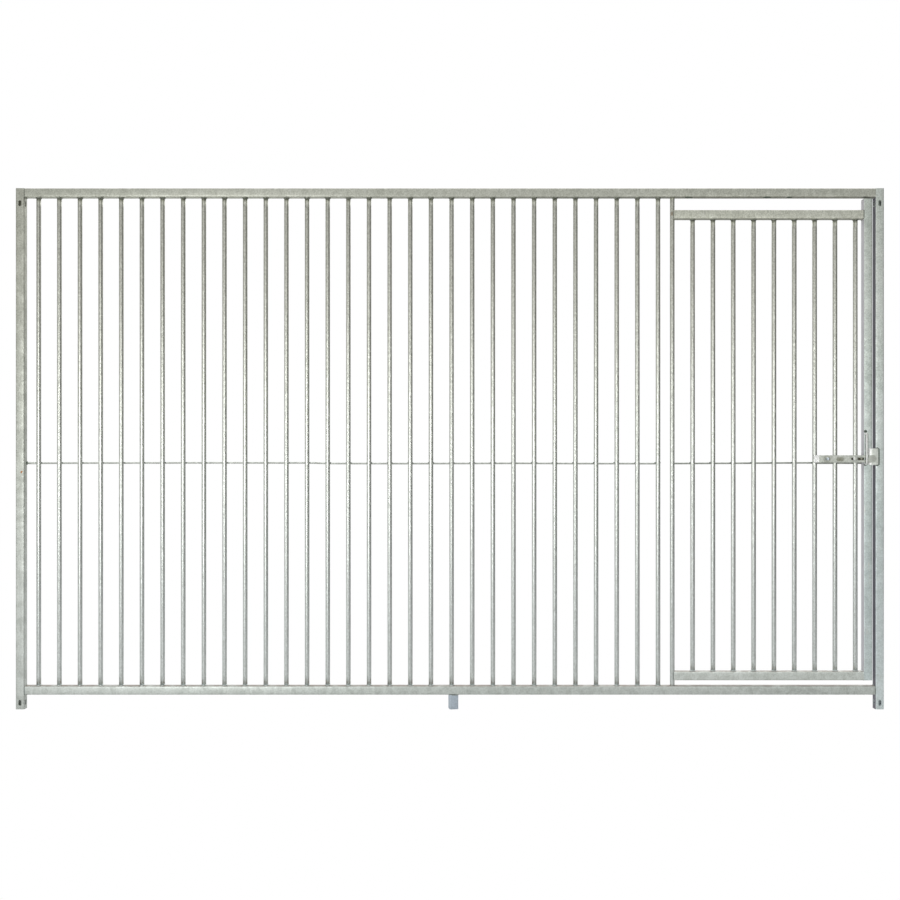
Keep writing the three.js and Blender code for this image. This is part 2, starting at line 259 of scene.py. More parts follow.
def zinc(name, light, dark, metallic, roughness, patch=26 * MM, scratches=0.0, streaks=0.0,
         dust_and_shade=0.0, tone=0.0, marks=(), specks=0.30, relief=0.35, left=None):
    """Hot-dip zinc between two tones, with patches of one size, its wear, and its spots: real marks
    and painted shade.

    What faces left more than a slope may have a painted look of its own: shade, reflection or
    highlight.
    """
    material = bpy.data.materials.new(name)
    material.use_nodes = True
    w = Wiring(material.node_tree)
    surface = material.node_tree.nodes["Principled BSDF"]
    coordinates = w.node("ShaderNodeTexCoord")
    place, facing = coordinates.outputs["Object"], coordinates.outputs["Normal"]

    grain = w.noise(place, 900.0, 2.0, 0.7)
    cloudiness = coat_tone(w, place, patch, grain)
    colour = light_tinted(w, speckled(w, w.mix(cloudiness, dark, light), place, specks), place)
    for wear, amount in ((toned, tone), (streaked, streaks), (scratched, scratches)):
        if amount:
            colour = wear(w, colour, place, amount)
    shine = metallic
    rough = w.maths("MULTIPLY_ADD", cloudiness, -0.10, roughness + 0.05)
    # Painted light: faces turned left get their own colour, metallic and roughness.
    if left:
        turned = w.step(w.along(facing, "X"), -left.slope - LEFT_PAINT_BLEND, -left.slope,
                        LEFT_PAINT_COVER, 0.0)
        colour = w.mix(turned, colour, left.colour)
        shine = w.maths("MULTIPLY_ADD", turned, left.metallic - metallic, metallic)
        rough = w.maths("ADD", rough, w.maths("MULTIPLY", turned, left.roughness - roughness))
    # Faces that turn up are dusty and carry painted shade: browner, darker and less metallic.
    if dust_and_shade:
        dust_and_shade_share = dust_and_top_shade(w, place, facing, dust_and_shade)
        colour = w.mix(dust_and_shade_share, colour, DUST_AND_SHADE)
        shine = w.maths("MULTIPLY", shine, w.maths("SUBTRACT", 1.0, dust_and_shade_share))
    for mark in marks:
        colour = marked(w, colour, place, mark)
    w.feed(surface.inputs["Base Color"], colour)
    w.feed(surface.inputs["Metallic"], shine)
    w.feed(surface.inputs["Roughness"], rough)

    swell = w.noise(place, 0.55 / patch, 2.0, 0.5)
    bump = w.node("ShaderNodeBump")
    bump.inputs["Strength"].default_value = relief
    bump.inputs["Distance"].default_value = 0.6 * MM
    w.feed(bump.inputs["Height"], w.maths("MULTIPLY_ADD", grain, 0.10, swell))
    w.feed(surface.inputs["Normal"], bump.outputs[0])
    return material


def centre_of(node):
    low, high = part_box(node)
    return (low + high) / 2


rivet, pivot, stud = centre_of("slide_rivet"), centre_of("pivot_bar"), centre_of("guide_stud")
rod_low, rod_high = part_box("panel_cross_rod")
rod_height = (rod_low.z + rod_high.z) / 2
bolt_low, bolt_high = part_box("slide_bolt")
keeper_low, keeper_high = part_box("keeper_plate")
handle_low, handle_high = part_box("pull_handle")
stile_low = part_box("door_stile")[0]
left_post_low, left_post_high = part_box("left_post")


def post_rust(inset, below, radius, strength):
    """Rust on the left post's front, in millimetres from its inner edge and the cross rod."""
    return Spot(left_post_high.x - inset * MM, left_post_low.y, rod_height - below * MM,
                 radius * MM, RUST, strength)


def bolt_mark(right, up, radius, colour, strength):
    """A round mark on the slide bolt's front, in millimetres from the knob pin's axis."""
    return Spot(rivet.x + right * MM, bolt_low.y, rivet.z + up * MM, radius * MM, colour,
                 strength)


METAL, POLISH = 0.85, 0.42
BAR_TONES = ((0.81, 0.825, 0.77), (0.75, 0.765, 0.71))
BAR_COAT = {"metallic": 0.9, "roughness": 0.33, "patch": 16 * MM, "streaks": 0.2, "specks": 0.3,
            "relief": 0.06}
THICK_TONES = ((0.82, 0.84, 0.78), (0.67, 0.69, 0.63))

# Tubes of the frame and the door
frame_zinc = zinc("rail_zinc", (0.76, 0.785, 0.71), (0.54, 0.56, 0.50), METAL, POLISH,
                  scratches=0.5, dust_and_shade=0.9, tone=0.25)
left_post_zinc = zinc("left_post_zinc", (0.69, 0.71, 0.64), (0.47, 0.485, 0.43), METAL, 0.45,
                      patch=34 * MM, scratches=0.35, dust_and_shade=0.5, tone=0.3,
                      marks=[post_rust(10, 33, 4, 0.9), post_rust(7, 30, 3, 0.7)])
# Painted shade: the right post's side towards the door is dark and dull, for the shade in the gap
# by the stile.
right_post_zinc = zinc("right_post_zinc", (0.91, 0.98, 0.94), (0.68, 0.75, 0.71), METAL, POLISH,
                       patch=30 * MM, scratches=0.3, dust_and_shade=0.5, tone=0.35,
                       left=LeftPaintedLight(SHADE, 0.7, 0.15, 0.6))
door_zinc = zinc("door_rail_zinc", (0.90, 0.925, 0.835), (0.65, 0.67, 0.59), METAL, POLISH,
                 scratches=0.45, dust_and_shade=0.7, tone=0.2)
# Painted reflection and shade: the stile's left side is a dull purple-grey, for the purple light
# seen on its edge.
stile_zinc = zinc("stile_zinc", (0.86, 0.94, 0.89), (0.62, 0.69, 0.65), METAL, POLISH,
                  patch=30 * MM, scratches=0.8, dust_and_shade=0.6, tone=0.3,
                  left=LeftPaintedLight(PAINTED_PURPLE_REFLECTION, 0.7, 0.15, 0.6))
stub_zinc = zinc("stub_zinc", (0.70, 0.77, 0.82), (0.60, 0.66, 0.71), METAL, 0.35, patch=40 * MM)

# Bars and rods
bar_zinc = zinc("bar_zinc", *BAR_TONES, **BAR_COAT)
pivot_zinc = zinc("pivot_zinc", *BAR_TONES, **BAR_COAT,
                  marks=[Spot(pivot.x - 1 * MM, pivot.y - BAR_RADIUS,
                                centre_of("door_top_rail").z + 3 * MM, 9 * MM, WELD_STAIN, 0.55)])
rod_zinc = zinc("rod_zinc", (0.70, 0.72, 0.67), (0.50, 0.52, 0.47), METAL, 0.5, patch=15 * MM)
door_rod_zinc = zinc("door_rod_zinc", (0.56, 0.58, 0.53), (0.38, 0.40, 0.36), METAL, 0.5,
                     patch=15 * MM)

# Latch
# Painted highlight: the latch's left-facing faces, the bolt's bevel among them, are whitened and
# made mirror-bright.
latch_zinc = zinc(
    "latch_zinc", (0.76, 0.78, 0.71), (0.58, 0.60, 0.53), METAL, POLISH, patch=12 * MM,
    scratches=0.4, left=LeftPaintedLight(PAINTED_HIGHLIGHT, 0.12, 1.0, 0.2),
    marks=[bolt_mark(0, 0, 14, OLIVE_STAIN, 0.6), bolt_mark(0, 0, 10, CLEAN, 0.8),
            # Among these: a near-black spot just right of the knob pin, and a darker disc near the
            # tongue's end.
            bolt_mark(7, 0, 5, NEAR_BLACK, 0.9), bolt_mark(40, -1, 9, OLIVE_STAIN, 0.6),
            bolt_mark(50, -2, 10, OLIVE_STAIN, 0.6), bolt_mark(161, 1, 11, DARK_DISC, 0.5),
            # The last spot is a small painted shade at the bevel's upper corner.
            Spot(bolt_low.x + 1 * MM, bolt_low.y + 4 * MM, bolt_high.z - 2 * MM, 2 * MM, SHADE,
                  0.8)])
rivet_zinc = zinc("rivet_zinc", (0.66, 0.73, 0.78), (0.50, 0.55, 0.59), 0.9, 0.25, patch=6 * MM)
# Painted highlight on the keeper's left-facing ramp.
keeper_zinc = zinc("keeper_zinc", *THICK_TONES, METAL, 0.44, patch=14 * MM,
                   left=LeftPaintedLight(PAINTED_HIGHLIGHT, 0.12, 1.0, 0.3))
# Painted highlight on the handle rod's left side.
handle_zinc = zinc("handle_zinc", *THICK_TONES, METAL, 0.44, patch=14 * MM,
                   left=LeftPaintedLight(PAINTED_HIGHLIGHT, 0.25, 0.15, 0.44))
# Painted shade: the back plate is as dark as the shade behind the bolt, with a lighter spot by the
# stud.
shaded_plate_zinc = zinc("shaded_plate_zinc", (0.22, 0.20, 0.14), (0.11, 0.10, 0.07), 0.5, 0.6, patch=8 * MM,
                  marks=[Spot(stud.x + 24.5 * MM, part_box("latch_plate")[0].y, rivet.z, 4 * MM,
                                LIGHTER_PLATE, 0.9)])

# Welds
light_weld_zinc = zinc("light_weld_zinc", (0.86, 0.88, 0.83), (0.66, 0.68, 0.63), METAL, 0.4,
                       patch=9 * MM)
weld_zinc = zinc("weld_zinc", (0.48, 0.50, 0.46), (0.24, 0.26, 0.23), 0.65, 0.5, patch=7 * MM)
dark_weld_zinc = zinc("dark_weld_zinc", (0.18, 0.22, 0.18), (0.08, 0.11, 0.09), 0.35, 0.5,
                      patch=6 * MM)


# ---------------------------------------------------------------- pieces

MERGE_WITHIN, FLAT_WITHIN = 0.002 * MM, math.radians(0.5)
BAR_SIDES, BAR_RINGS = 32, 48
COLLAR_STEPS, COLLAR_SIDES = 24, 8
BLOB_FINENESS = 3
BAR_WAVER = 0.06 * MM  # how far a bar's surface strays from round
FIXED_BARS = sorted(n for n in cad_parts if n.startswith("fixed_bar_"))
DOOR_BARS = sorted(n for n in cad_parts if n.startswith("door_bar_"))


def keep(piece, body, slot, *replaced):
    """Puts a finished piece on its body and hides the solids that it stands for; the slot is not
    used.
    """
    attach(piece, body)
    if replaced:
        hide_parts(*replaced)
    return piece


def new_object(name, mesh):
    piece = bpy.data.objects.new(name, mesh)
    bpy.context.scene.collection.objects.link(piece)
    return piece


def dressed_solid(name, node, body, slot, material, edge=0.5 * MM, smooth_below=30):
    """A solid with its corners rounded by the zinc coat and its curved walls shaded smooth."""
    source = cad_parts[node].data
    mesh = bpy.data.meshes.new(name)
    mesh.from_pydata([v.co[:] for v in source.vertices], [],
                     [p.vertices[:] for p in source.polygons])
    form = bmesh.new()
    form.from_mesh(mesh)
    bmesh.ops.remove_doubles(form, verts=form.verts, dist=MERGE_WITHIN)
    bmesh.ops.dissolve_limit(form, angle_limit=FLAT_WITHIN, verts=form.verts, edges=form.edges)
    for face in form.faces:
        face.smooth = True
    for joint in form.edges:
        joint.smooth = joint.calc_face_angle(0.0) < math.radians(smooth_below)
    form.to_mesh(mesh)
    form.free()
    mesh.materials.append(material)
    piece = new_object(name, mesh)
    bevel = piece.modifiers.new("zinc_edge", "BEVEL")
    bevel.width = edge
    bevel.segments = 2
    bevel.limit_method = "ANGLE"
    bevel.angle_limit = math.radians(smooth_below)
    bevel.harden_normals = True
    return keep(piece, body, slot, node)


def new_shape_tree(name, inputs):
    """A Geometry Nodes tree with named inputs, and the wiring to fill it."""
    tree = bpy.data.node_groups.new(name, "GeometryNodeTree")
    tree.interface.new_socket("Geometry", in_out="INPUT", socket_type="NodeSocketGeometry")
    tree.interface.new_socket("Geometry", in_out="OUTPUT", socket_type="NodeSocketGeometry")
    for label, kind in inputs:
        tree.interface.new_socket(label, in_out="INPUT", socket_type="NodeSocket" + kind)
    w = Wiring(tree)
    entry = w.node("NodeGroupInput")
    return tree, w, entry.outputs


def close_tree(w, geometry, material):
    """Every tree ends alike: real geometry, smooth shading, material."""
    real = w.node("GeometryNodeRealizeInstances")
    w.feed(real.inputs["Geometry"], geometry)
    shade = w.node("GeometryNodeSetShadeSmooth")
    w.feed(shade.inputs["Geometry"], real.outputs[0])
    w.feed(shade.inputs["Shade Smooth"], True)
    coat = w.node("GeometryNodeSetMaterial")
    w.feed(coat.inputs["Geometry"], shade.outputs[0])
    w.feed(coat.inputs["Material"], material)
    end = w.node("NodeGroupOutput")
    w.feed(end.inputs[0], coat.outputs[0])


def roughened(w, geometry, size, amount):
    """The surface moved in and out along its normals by noise."""
    place = w.node("GeometryNodeInputPosition").outputs[0]
    normal = w.node("GeometryNodeInputNormal").outputs[0]
    level = w.maths("SUBTRACT", w.noise(place, w.maths("DIVIDE", 1.0, size), 2.0, 0.5), 0.5)
    push = w.vector_maths("SCALE", normal, scale=w.maths("MULTIPLY", level, amount))
    moved = w.node("GeometryNodeSetPosition")
    w.feed(moved.inputs["Geometry"], geometry)
    w.feed(moved.inputs["Offset"], push)
    return moved.outputs[0]


def bar_row_tree():
    """Upright round bars in a row: one on each point of a line."""
    tree, w, given = new_shape_tree("bar_row", [
        ("Count", "Int"), ("First", "Vector"), ("Pitch", "Vector"), ("Radius", "Float"),
        ("Length", "Float"), ("Waver", "Float"), ("Material", "Material")])
    row = w.node("GeometryNodeMeshLine", mode="OFFSET")
    w.feed(row.inputs["Count"], given["Count"])
    w.feed(row.inputs["Start Location"], given["First"])
    w.feed(row.inputs["Offset"], given["Pitch"])
    bar = w.node("GeometryNodeMeshCylinder")
    bar.inputs["Vertices"].default_value = BAR_SIDES
    bar.inputs["Side Segments"].default_value = BAR_RINGS
    w.feed(bar.inputs["Radius"], w.maths("SUBTRACT", given["Radius"], given["Waver"]))
    w.feed(bar.inputs["Depth"], given["Length"])
    placed = w.node("GeometryNodeInstanceOnPoints")
    w.feed(placed.inputs["Points"], row.outputs[0])
    w.feed(placed.inputs["Instance"], bar.outputs["Mesh"])
    real = w.node("GeometryNodeRealizeInstances")
    w.feed(real.inputs["Geometry"], placed.outputs[0])
    place = w.node("GeometryNodeInputPosition").outputs[0]
    drawn = w.vector_maths("MULTIPLY", place, (1.0, 1.0, 0.25))
    level = w.maths("SUBTRACT", w.noise(drawn, 70.0, 2.0, 0.5), 0.5)
    side = w.vector_maths("MULTIPLY", w.node("GeometryNodeInputNormal").outputs[0], (1.0, 1.0, 0.0))
    push = w.vector_maths("SCALE", side, scale=w.maths(
        "MULTIPLY", level, w.maths("MULTIPLY", given["Waver"], 2.0)))
    moved = w.node("GeometryNodeSetPosition")
    w.feed(moved.inputs["Geometry"], real.outputs[0])
    w.feed(moved.inputs["Offset"], push)
    close_tree(w, moved.outputs[0], given["Material"])
    return tree


def bead_tree():
    """Weld beads and rods along drawn paths, whose points carry the radius."""
    tree, w, given = new_shape_tree("weld_beads", [
        ("Step", "Float"), ("Sides", "Int"), ("Ripple size", "Float"), ("Ripple", "Float"),
        ("Material", "Material")])
    path = w.node("GeometryNodeMeshToCurve")
    w.feed(path.inputs["Mesh"], given["Geometry"])
    even = w.node("GeometryNodeResampleCurve", mode="LENGTH")
    w.feed(even.inputs["Curve"], path.outputs[0])
    w.feed(even.inputs["Length"], given["Step"])
    section = w.node("GeometryNodeCurvePrimitiveCircle")
    w.feed(section.inputs["Resolution"], given["Sides"])
    section.inputs["Radius"].default_value = 1.0
    radius = w.node("GeometryNodeInputNamedAttribute", data_type="FLOAT")
    radius.inputs["Name"].default_value = "bead"
    bead = w.node("GeometryNodeCurveToMesh")
    w.feed(bead.inputs["Curve"], even.outputs[0])
    w.feed(bead.inputs["Profile Curve"], section.outputs["Curve"])
    w.feed(bead.inputs["Scale"], radius.outputs["Attribute"])
    bead.inputs["Fill Caps"].default_value = True
    rippled = roughened(w, bead.outputs[0], given["Ripple size"], given["Ripple"])
    close_tree(w, rippled, given["Material"])
    return tree


def collar_tree():
    """A weld collar on each point, round the end of a bar."""
    tree, w, given = new_shape_tree("weld_collars", [
        ("Bar radius", "Float"), ("Bead", "Float"), ("Ripple size", "Float"),
        ("Ripple", "Float"), ("Material", "Material")])
    ring = w.node("GeometryNodeCurvePrimitiveCircle")
    ring.inputs["Resolution"].default_value = COLLAR_STEPS
    w.feed(ring.inputs["Radius"], given["Bar radius"])
    section = w.node("GeometryNodeCurvePrimitiveCircle")
    section.inputs["Resolution"].default_value = COLLAR_SIDES
    w.feed(section.inputs["Radius"], given["Bead"])
    bead = w.node("GeometryNodeCurveToMesh")
    w.feed(bead.inputs["Curve"], ring.outputs["Curve"])
    w.feed(bead.inputs["Profile Curve"], section.outputs["Curve"])
    placed = w.node("GeometryNodeInstanceOnPoints")
    w.feed(placed.inputs["Points"], given["Geometry"])
    w.feed(placed.inputs["Instance"], bead.outputs[0])
    real = w.node("GeometryNodeRealizeInstances")
    w.feed(real.inputs["Geometry"], placed.outputs[0])
    rippled = roughened(w, real.outputs[0], given["Ripple size"], given["Ripple"])
    close_tree(w, rippled, given["Material"])
    return tree


def blob_tree():
    """Zinc or weld blobs on points that carry their own half sizes."""
    tree, w, given = new_shape_tree("zinc_blobs", [
        ("Ripple size", "Float"), ("Ripple", "Float"), ("Material", "Material")])
    ball = w.node("GeometryNodeMeshIcoSphere")
    ball.inputs["Radius"].default_value = 1.0
    ball.inputs["Subdivisions"].default_value = BLOB_FINENESS
    size = w.node("GeometryNodeInputNamedAttribute", data_type="FLOAT_VECTOR")
    size.inputs["Name"].default_value = "size"
    placed = w.node("GeometryNodeInstanceOnPoints")
    w.feed(placed.inputs["Points"], given["Geometry"])
    w.feed(placed.inputs["Instance"], ball.outputs[0])
    w.feed(placed.inputs["Scale"], size.outputs["Attribute"])
    real = w.node("GeometryNodeRealizeInstances")
    w.feed(real.inputs["Geometry"], placed.outputs[0])
    rippled = roughened(w, real.outputs[0], given["Ripple size"], given["Ripple"])
    close_tree(w, rippled, given["Material"])
    return tree


def grown(name, seed_mesh, tree, body, slot, values, *replaced):
    """Runs a tree on a seed mesh and keeps the plain mesh that comes out."""
    source = new_object(name + "_seed", seed_mesh)
    modifier = source.modifiers.new("grow", "NODES")
    modifier.node_group = tree
    sockets = {s.name: s.identifier for s in tree.interface.items_tree if s.in_out == "INPUT"}
    for label, value in values.items():
        modifier[sockets[label]] = value
    bpy.context.view_layer.update()
    graph = bpy.context.evaluated_depsgraph_get()
    mesh = bpy.data.meshes.new_from_object(source.evaluated_get(graph), depsgraph=graph)
    mesh.name = name
    bpy.data.objects.remove(source)
    return keep(new_object(name, mesh), body, slot, *replaced)


def seed_points(name, places, sizes=None):
    mesh = bpy.data.meshes.new(name)
    mesh.from_pydata([tuple(p) for p in places], [], [])
    if sizes:
        attribute = mesh.attributes.new("size", "FLOAT_VECTOR", "POINT")
        for item, size in zip(attribute.data, sizes):
            item.vector = size
    return mesh


def seed_paths(name, paths):
    """Each path is (points, bead radius, closed)."""
    points, edges, radii = [], [], []
    for line, bead, closed in paths:
        first = len(points)
        points += [tuple(p) for p in line]
        radii += [bead] * len(line)
        edges += [(first + i, first + i + 1) for i in range(len(line) - 1)]
        if closed:
            edges.append((len(points) - 1, first))
    mesh = bpy.data.meshes.new(name)
    mesh.from_pydata(points, edges, [])
    attribute = mesh.attributes.new("bead", "FLOAT", "POINT")
    for item, radius in zip(attribute.data, radii):
        item.value = radius
    return mesh


def bar_row(name, nodes, body, material):
    """All bars of a row as one piece, in the places of their solids."""
    low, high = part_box(nodes[0])
    first = (low + high) / 2
    pitch = (centre_of(nodes[-1]) - first) / max(len(nodes) - 1, 1)
    values = {"Count": len(nodes), "First": first, "Pitch": pitch,
              "Radius": (high.x - low.x) / 2, "Length": high.z - low.z, "Waver": BAR_WAVER,
              "Material": material}
    empty = bpy.data.meshes.new(name + "_seed")
    return grown(name, empty, row_tree, body, "bar_zinc", values, *nodes)


row_tree, beads, collars, blobs = bar_row_tree(), bead_tree(), collar_tree(), blob_tree()

# Frame and its fixed bars
dressed_solid("left_post_tube", "left_post", "panel", "frame_zinc", left_post_zinc)
dressed_solid("right_post_tube", "right_post", "panel", "frame_zinc", right_post_zinc)
dressed_solid("top_rail_tube", "top_rail", "panel", "frame_zinc", frame_zinc)
dressed_solid("bottom_rail_tube", "bottom_rail", "panel", "frame_zinc", frame_zinc)
dressed_solid("middle_foot_stub", "middle_foot", "panel", "stub_zinc", stub_zinc)
dressed_solid("keeper", "keeper_plate", "panel", "latch_zinc", keeper_zinc, edge=0.7 * MM)
bar_row("panel_bars", FIXED_BARS, "panel", bar_zinc)

# Door
dressed_solid("door_stile_tube", "door_stile", "door", "frame_zinc", stile_zinc)
dressed_solid("door_top_rail_tube", "door_top_rail", "door", "frame_zinc", door_zinc)
dressed_solid("door_bottom_rail_tube", "door_bottom_rail", "door", "frame_zinc", door_zinc)
bar_row("door_bars", DOOR_BARS, "door", bar_zinc)
bar_row("pivot_tube", ["pivot_bar"], "door", pivot_zinc)

# Latch
dressed_solid("latch_back_plate", "latch_plate", "door", "latch_zinc", shaded_plate_zinc)
dressed_solid("latch_pad_left", "plate_pad_1", "door", "latch_zinc", weld_zinc)
dressed_solid("latch_pad_right", "plate_pad_2", "door", "latch_zinc", weld_zinc)
dressed_solid("stud", "guide_stud", "door", "latch_zinc", latch_zinc, edge=0.3 * MM)
dressed_solid("bolt_bar", "slide_bolt", "bolt", "latch_zinc", latch_zinc, edge=0.6 * MM,
              smooth_below=12)
dressed_solid("bolt_rivet", "slide_rivet", "bolt", "latch_zinc", rivet_zinc, edge=0.2 * MM)


# ---------------------------------------------------------------- rods

ROD = {"Step": 12 * MM, "Sides": 16, "Ripple size": 9 * MM}
HANDLE_BEND = 8 * MM  # radius of the rod's axis in its two bends
QUARTER_STEPS, LAP_STEPS = 8, 8
PANEL_ROD_DROPS = [(0.0, 2.0), (0.1, 1.2), (0.28, 0.6), (0.45, 0.8), (0.48, 2.8), (0.6, 3.2),
                   (0.72, 2.4), (0.78, 2.0), (0.88, 3.0), (1.0, 3.2)]
DOOR_ROD_DROPS = [(0.0, 2.8), (0.3, 2.0), (0.6, 0.8), (1.0, 0.0)]
LAP_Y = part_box("door_cross_rod")[1].y - 2 * MM


def hung_rod(node, body, material, drops):
    """A cross rod that hangs a little: (share of its length, drop in mm), from the left on."""
    low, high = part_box(node)
    middle, radius = (low + high) / 2, (high.z - low.z) / 2
    line = [Vector((low.x + share * (high.x - low.x), middle.y, middle.z - drop * MM))
            for share, drop in drops]
    grown(node + "_rod", seed_paths(node, [(line, radius, False)]), beads, body, "bar_zinc",
          {**ROD, "Ripple": 0.3 * MM, "Material": material}, node)


def rod_lap(name, body, first, last, height, radius, material):
    """A thicker stretch of a cross rod, from one x to another."""
    line = [Vector((first + (last - first) * i / LAP_STEPS, LAP_Y, height))
            for i in range(LAP_STEPS + 1)]
    grown(name, seed_paths(name, [(line, radius, False)]), beads, body, "bar_zinc",
          {**ROD, "Ripple": 0.6 * MM, "Material": material})


def handle_axis(radius):
    """Axis of the bent handle rod."""
    x, grip = (handle_low.x + handle_high.x) / 2, handle_low.y + radius
    upper, lower = handle_high.z - radius, handle_low.z + radius
    line = [Vector((x, handle_high.y, upper))]
    for centre_z, start in ((upper - HANDLE_BEND, 1), (lower + HANDLE_BEND, 0)):
        for i in range(QUARTER_STEPS + 1):
            angle = math.pi / 2 * (start - i / QUARTER_STEPS)
            line.append(Vector((x, grip + HANDLE_BEND - HANDLE_BEND * math.cos(angle),
                                centre_z + HANDLE_BEND * math.sin(angle))))
    line.append(Vector((x, handle_high.y, lower)))
    return line


hung_rod("panel_cross_rod", "panel", rod_zinc, PANEL_ROD_DROPS)
hung_rod("door_cross_rod", "door", door_rod_zinc, DOOR_ROD_DROPS)
# Under the bolt the door's rod is thicker and dark: a lap of rod, and painted shade of the bolt
# above it.
rod_lap("door_rod_lap_and_shade", "door", bolt_low.x + 12 * MM, stile_low.x, rod_height, 4.6 * MM,
        door_rod_zinc)
rod_lap("panel_rod_lap", "panel", left_post_high.x, centre_of("fixed_bar_01").x,
        rod_height - 1.5 * MM, 4.0 * MM, light_weld_zinc)
handle_radius = (handle_high.x - handle_low.x) / 2
handle_path = (handle_axis(handle_radius), handle_radius - 0.1 * MM, False)
grown("handle_rod", seed_paths("handle_rod", [handle_path]), beads, "door", "latch_zinc",
      {"Step": 1.2 * MM, "Sides": 24, "Ripple size": 7 * MM, "Ripple": 0.15 * MM,
       "Material": handle_zinc}, "pull_handle")


# ---------------------------------------------------------------- welds

RAIL_BEAD, DOOR_BEAD, FOOT_BEAD, KEEPER_BEAD = 1.4 * MM, 1.8 * MM, 1.6 * MM, 3.0 * MM
FOOT_TURN = math.radians(13)  # how far the middle foot is askew
FOOT_CORNER = 0.94  # how far the foot's bead reaches into the corners
COLLAR_INSET = 1.1 * MM
RAIL_DRIPS = ((0.826, 14 * MM), (1.097, 15 * MM), (1.174, 10 * MM))  # x and half length
BEAD = {"Step": 2.5 * MM, "Sides": 8, "Ripple size": 3 * MM, "Ripple": 0.8 * MM}


def section_loop(x, low, high, top_limit):
    """Path round a rail's section at one x, kept below a height."""
    front, back = low.y + TUBE_CORNER, high.y - TUBE_CORNER
    lower, upper = low.z + TUBE_CORNER, high.z - TUBE_CORNER
    points = []
    for quarter, (y, z) in enumerate(((back, upper), (front, upper), (front, lower),
                                      (back, lower))):
        for step in range(4):
            angle = math.pi / 2 * (quarter + step / 3)
            points.append(Vector((x, y + TUBE_CORNER * math.cos(angle),
                                  min(z + TUBE_CORNER * math.sin(angle), top_limit))))
    return points


def rail_end_bead(node, end):
    """Bead round a rail's left (0) or right (1) end, kept under the frame's upper face."""
    low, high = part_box(node)
    top_limit = cad_high.z - RAIL_BEAD - 0.2 * MM
    return (section_loop((low.x, high.x)[end], low, high, top_limit), RAIL_BEAD, True)


def standing_bead(x, y, low, high, steps=6):
    """Straight upright bead where a door rail meets the pivot bar."""
    line = [Vector((x, y, low + (high - low) * i / steps)) for i in range(steps + 1)]
    return (line, DOOR_BEAD, False)


def foot_bead(node):
    """Bead round the turned stub under the bottom rail."""
    low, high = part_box(node)
    middle = (low + high) / 2
    inside = FOOT_BEAD + 0.5 * MM
    points = []
    for i in range(16):
        angle = math.pi / 8 * i
        x, y = math.cos(angle), math.sin(angle)
        reach = TUBE_SIDE / 2 / max(abs(x), abs(y)) * (FOOT_CORNER if i % 4 == 2 else 1.0)
        x, y = x * reach, y * reach
        across = middle.y + x * math.sin(FOOT_TURN) + y * math.cos(FOOT_TURN)
        points.append(Vector((middle.x + x * math.cos(FOOT_TURN) - y * math.sin(FOOT_TURN),
                              max(low.y + inside, min(high.y - inside, across)),
                              high.z - 0.6 * MM)))
    return (points, FOOT_BEAD, True)


def keeper_hook():
    """Bead round the keeper's right end, from its upper edge to its lower edge."""
    y, upper, lower = keeper_high.y - 0.6 * MM, keeper_high.z, keeper_low.z
    points = [(keeper_high.x + right * MM, y, edge + up * MM) for right, edge, up in (
        (-7, upper, 0.4), (-2, upper, 0.6), (2.2, upper, -2), (2.5, (upper + lower) / 2, 0),
        (2.2, lower, 2), (-2, lower, -0.6), (-7, lower, -0.4))]
    return (points, KEEPER_BEAD, False)


def weld(name, paths, body, slot, material):
    grown(name, seed_paths(name, paths), beads, body, slot, {**BEAD, "Material": material})


def bar_ends(names, end):
    """Points on the bars' axes, a little in from their lower (0) or upper (1) ends."""
    inset = (COLLAR_INSET, -COLLAR_INSET)[end]
    return [Vector((centre_of(name).x, centre_of(name).y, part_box(name)[end].z + inset))
            for name in names]


weld("panel_rail_welds", [rail_end_bead("top_rail", 0), rail_end_bead("bottom_rail", 0),
                          rail_end_bead("bottom_rail", 1), foot_bead("middle_foot")],
     "panel", "frame_zinc", weld_zinc)
weld("panel_light_weld", [rail_end_bead("top_rail", 1)], "panel", "frame_zinc", light_weld_zinc)
weld("keeper_weld", [keeper_hook()], "panel", "latch_zinc", dark_weld_zinc)
weld("door_light_weld", [rail_end_bead("door_bottom_rail", 1)], "door", "frame_zinc",
     light_weld_zinc)
door_paths = [rail_end_bead("door_top_rail", 1)]
for rail in ("door_top_rail", "door_bottom_rail"):
    low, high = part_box(rail)
    for side in (-8.2 * MM, 8.2 * MM):
        door_paths.append(standing_bead(low.x + 0.3 * MM, pivot.y + side, low.z + 2 * MM,
                                        high.z - 2 * MM))
weld("door_rail_welds", door_paths, "door", "frame_zinc", weld_zinc)

for body, names in (("panel", FIXED_BARS), ("door", DOOR_BARS)):
    for place, end, bead, ripple, coat in (("feet", 0, 1.9 * MM, 0.9 * MM, light_weld_zinc),
                                           ("tops", 1, 2.2 * MM, 1.2 * MM, weld_zinc)):
        name = f"{body}_bar_{place}"
        grown(name, seed_points(name, bar_ends(names, end)), collars, body, "bar_zinc",
              {"Bar radius": BAR_RADIUS + 0.3 * MM, "Bead": bead, "Ripple size": 4 * MM,
               "Ripple": ripple, "Material": coat})

chance = random.Random(7)


def rod_tacks(rod, bars):
    """Tack welds between the cross rod and the bars in front of it: places and half sizes."""
    low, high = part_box(rod)
    height = (low.z + high.z) / 2
    places, sizes = [], []
    for name in bars:
        x = centre_of(name).x
        places.append((x + chance.uniform(-0.8, 0.8) * MM, low.y + 0.6 * MM, height))
        sizes.append((chance.uniform(9.5, 11.5) * MM, 3.4 * MM, chance.uniform(2.9, 3.5) * MM))
    return places, sizes


def blob_piece(name, places, sizes, body):
    grown(name, seed_points(name, places, sizes), blobs, body, "bar_zinc",
          {"Ripple size": 3 * MM, "Ripple": 1.0 * MM, "Material": dark_weld_zinc})


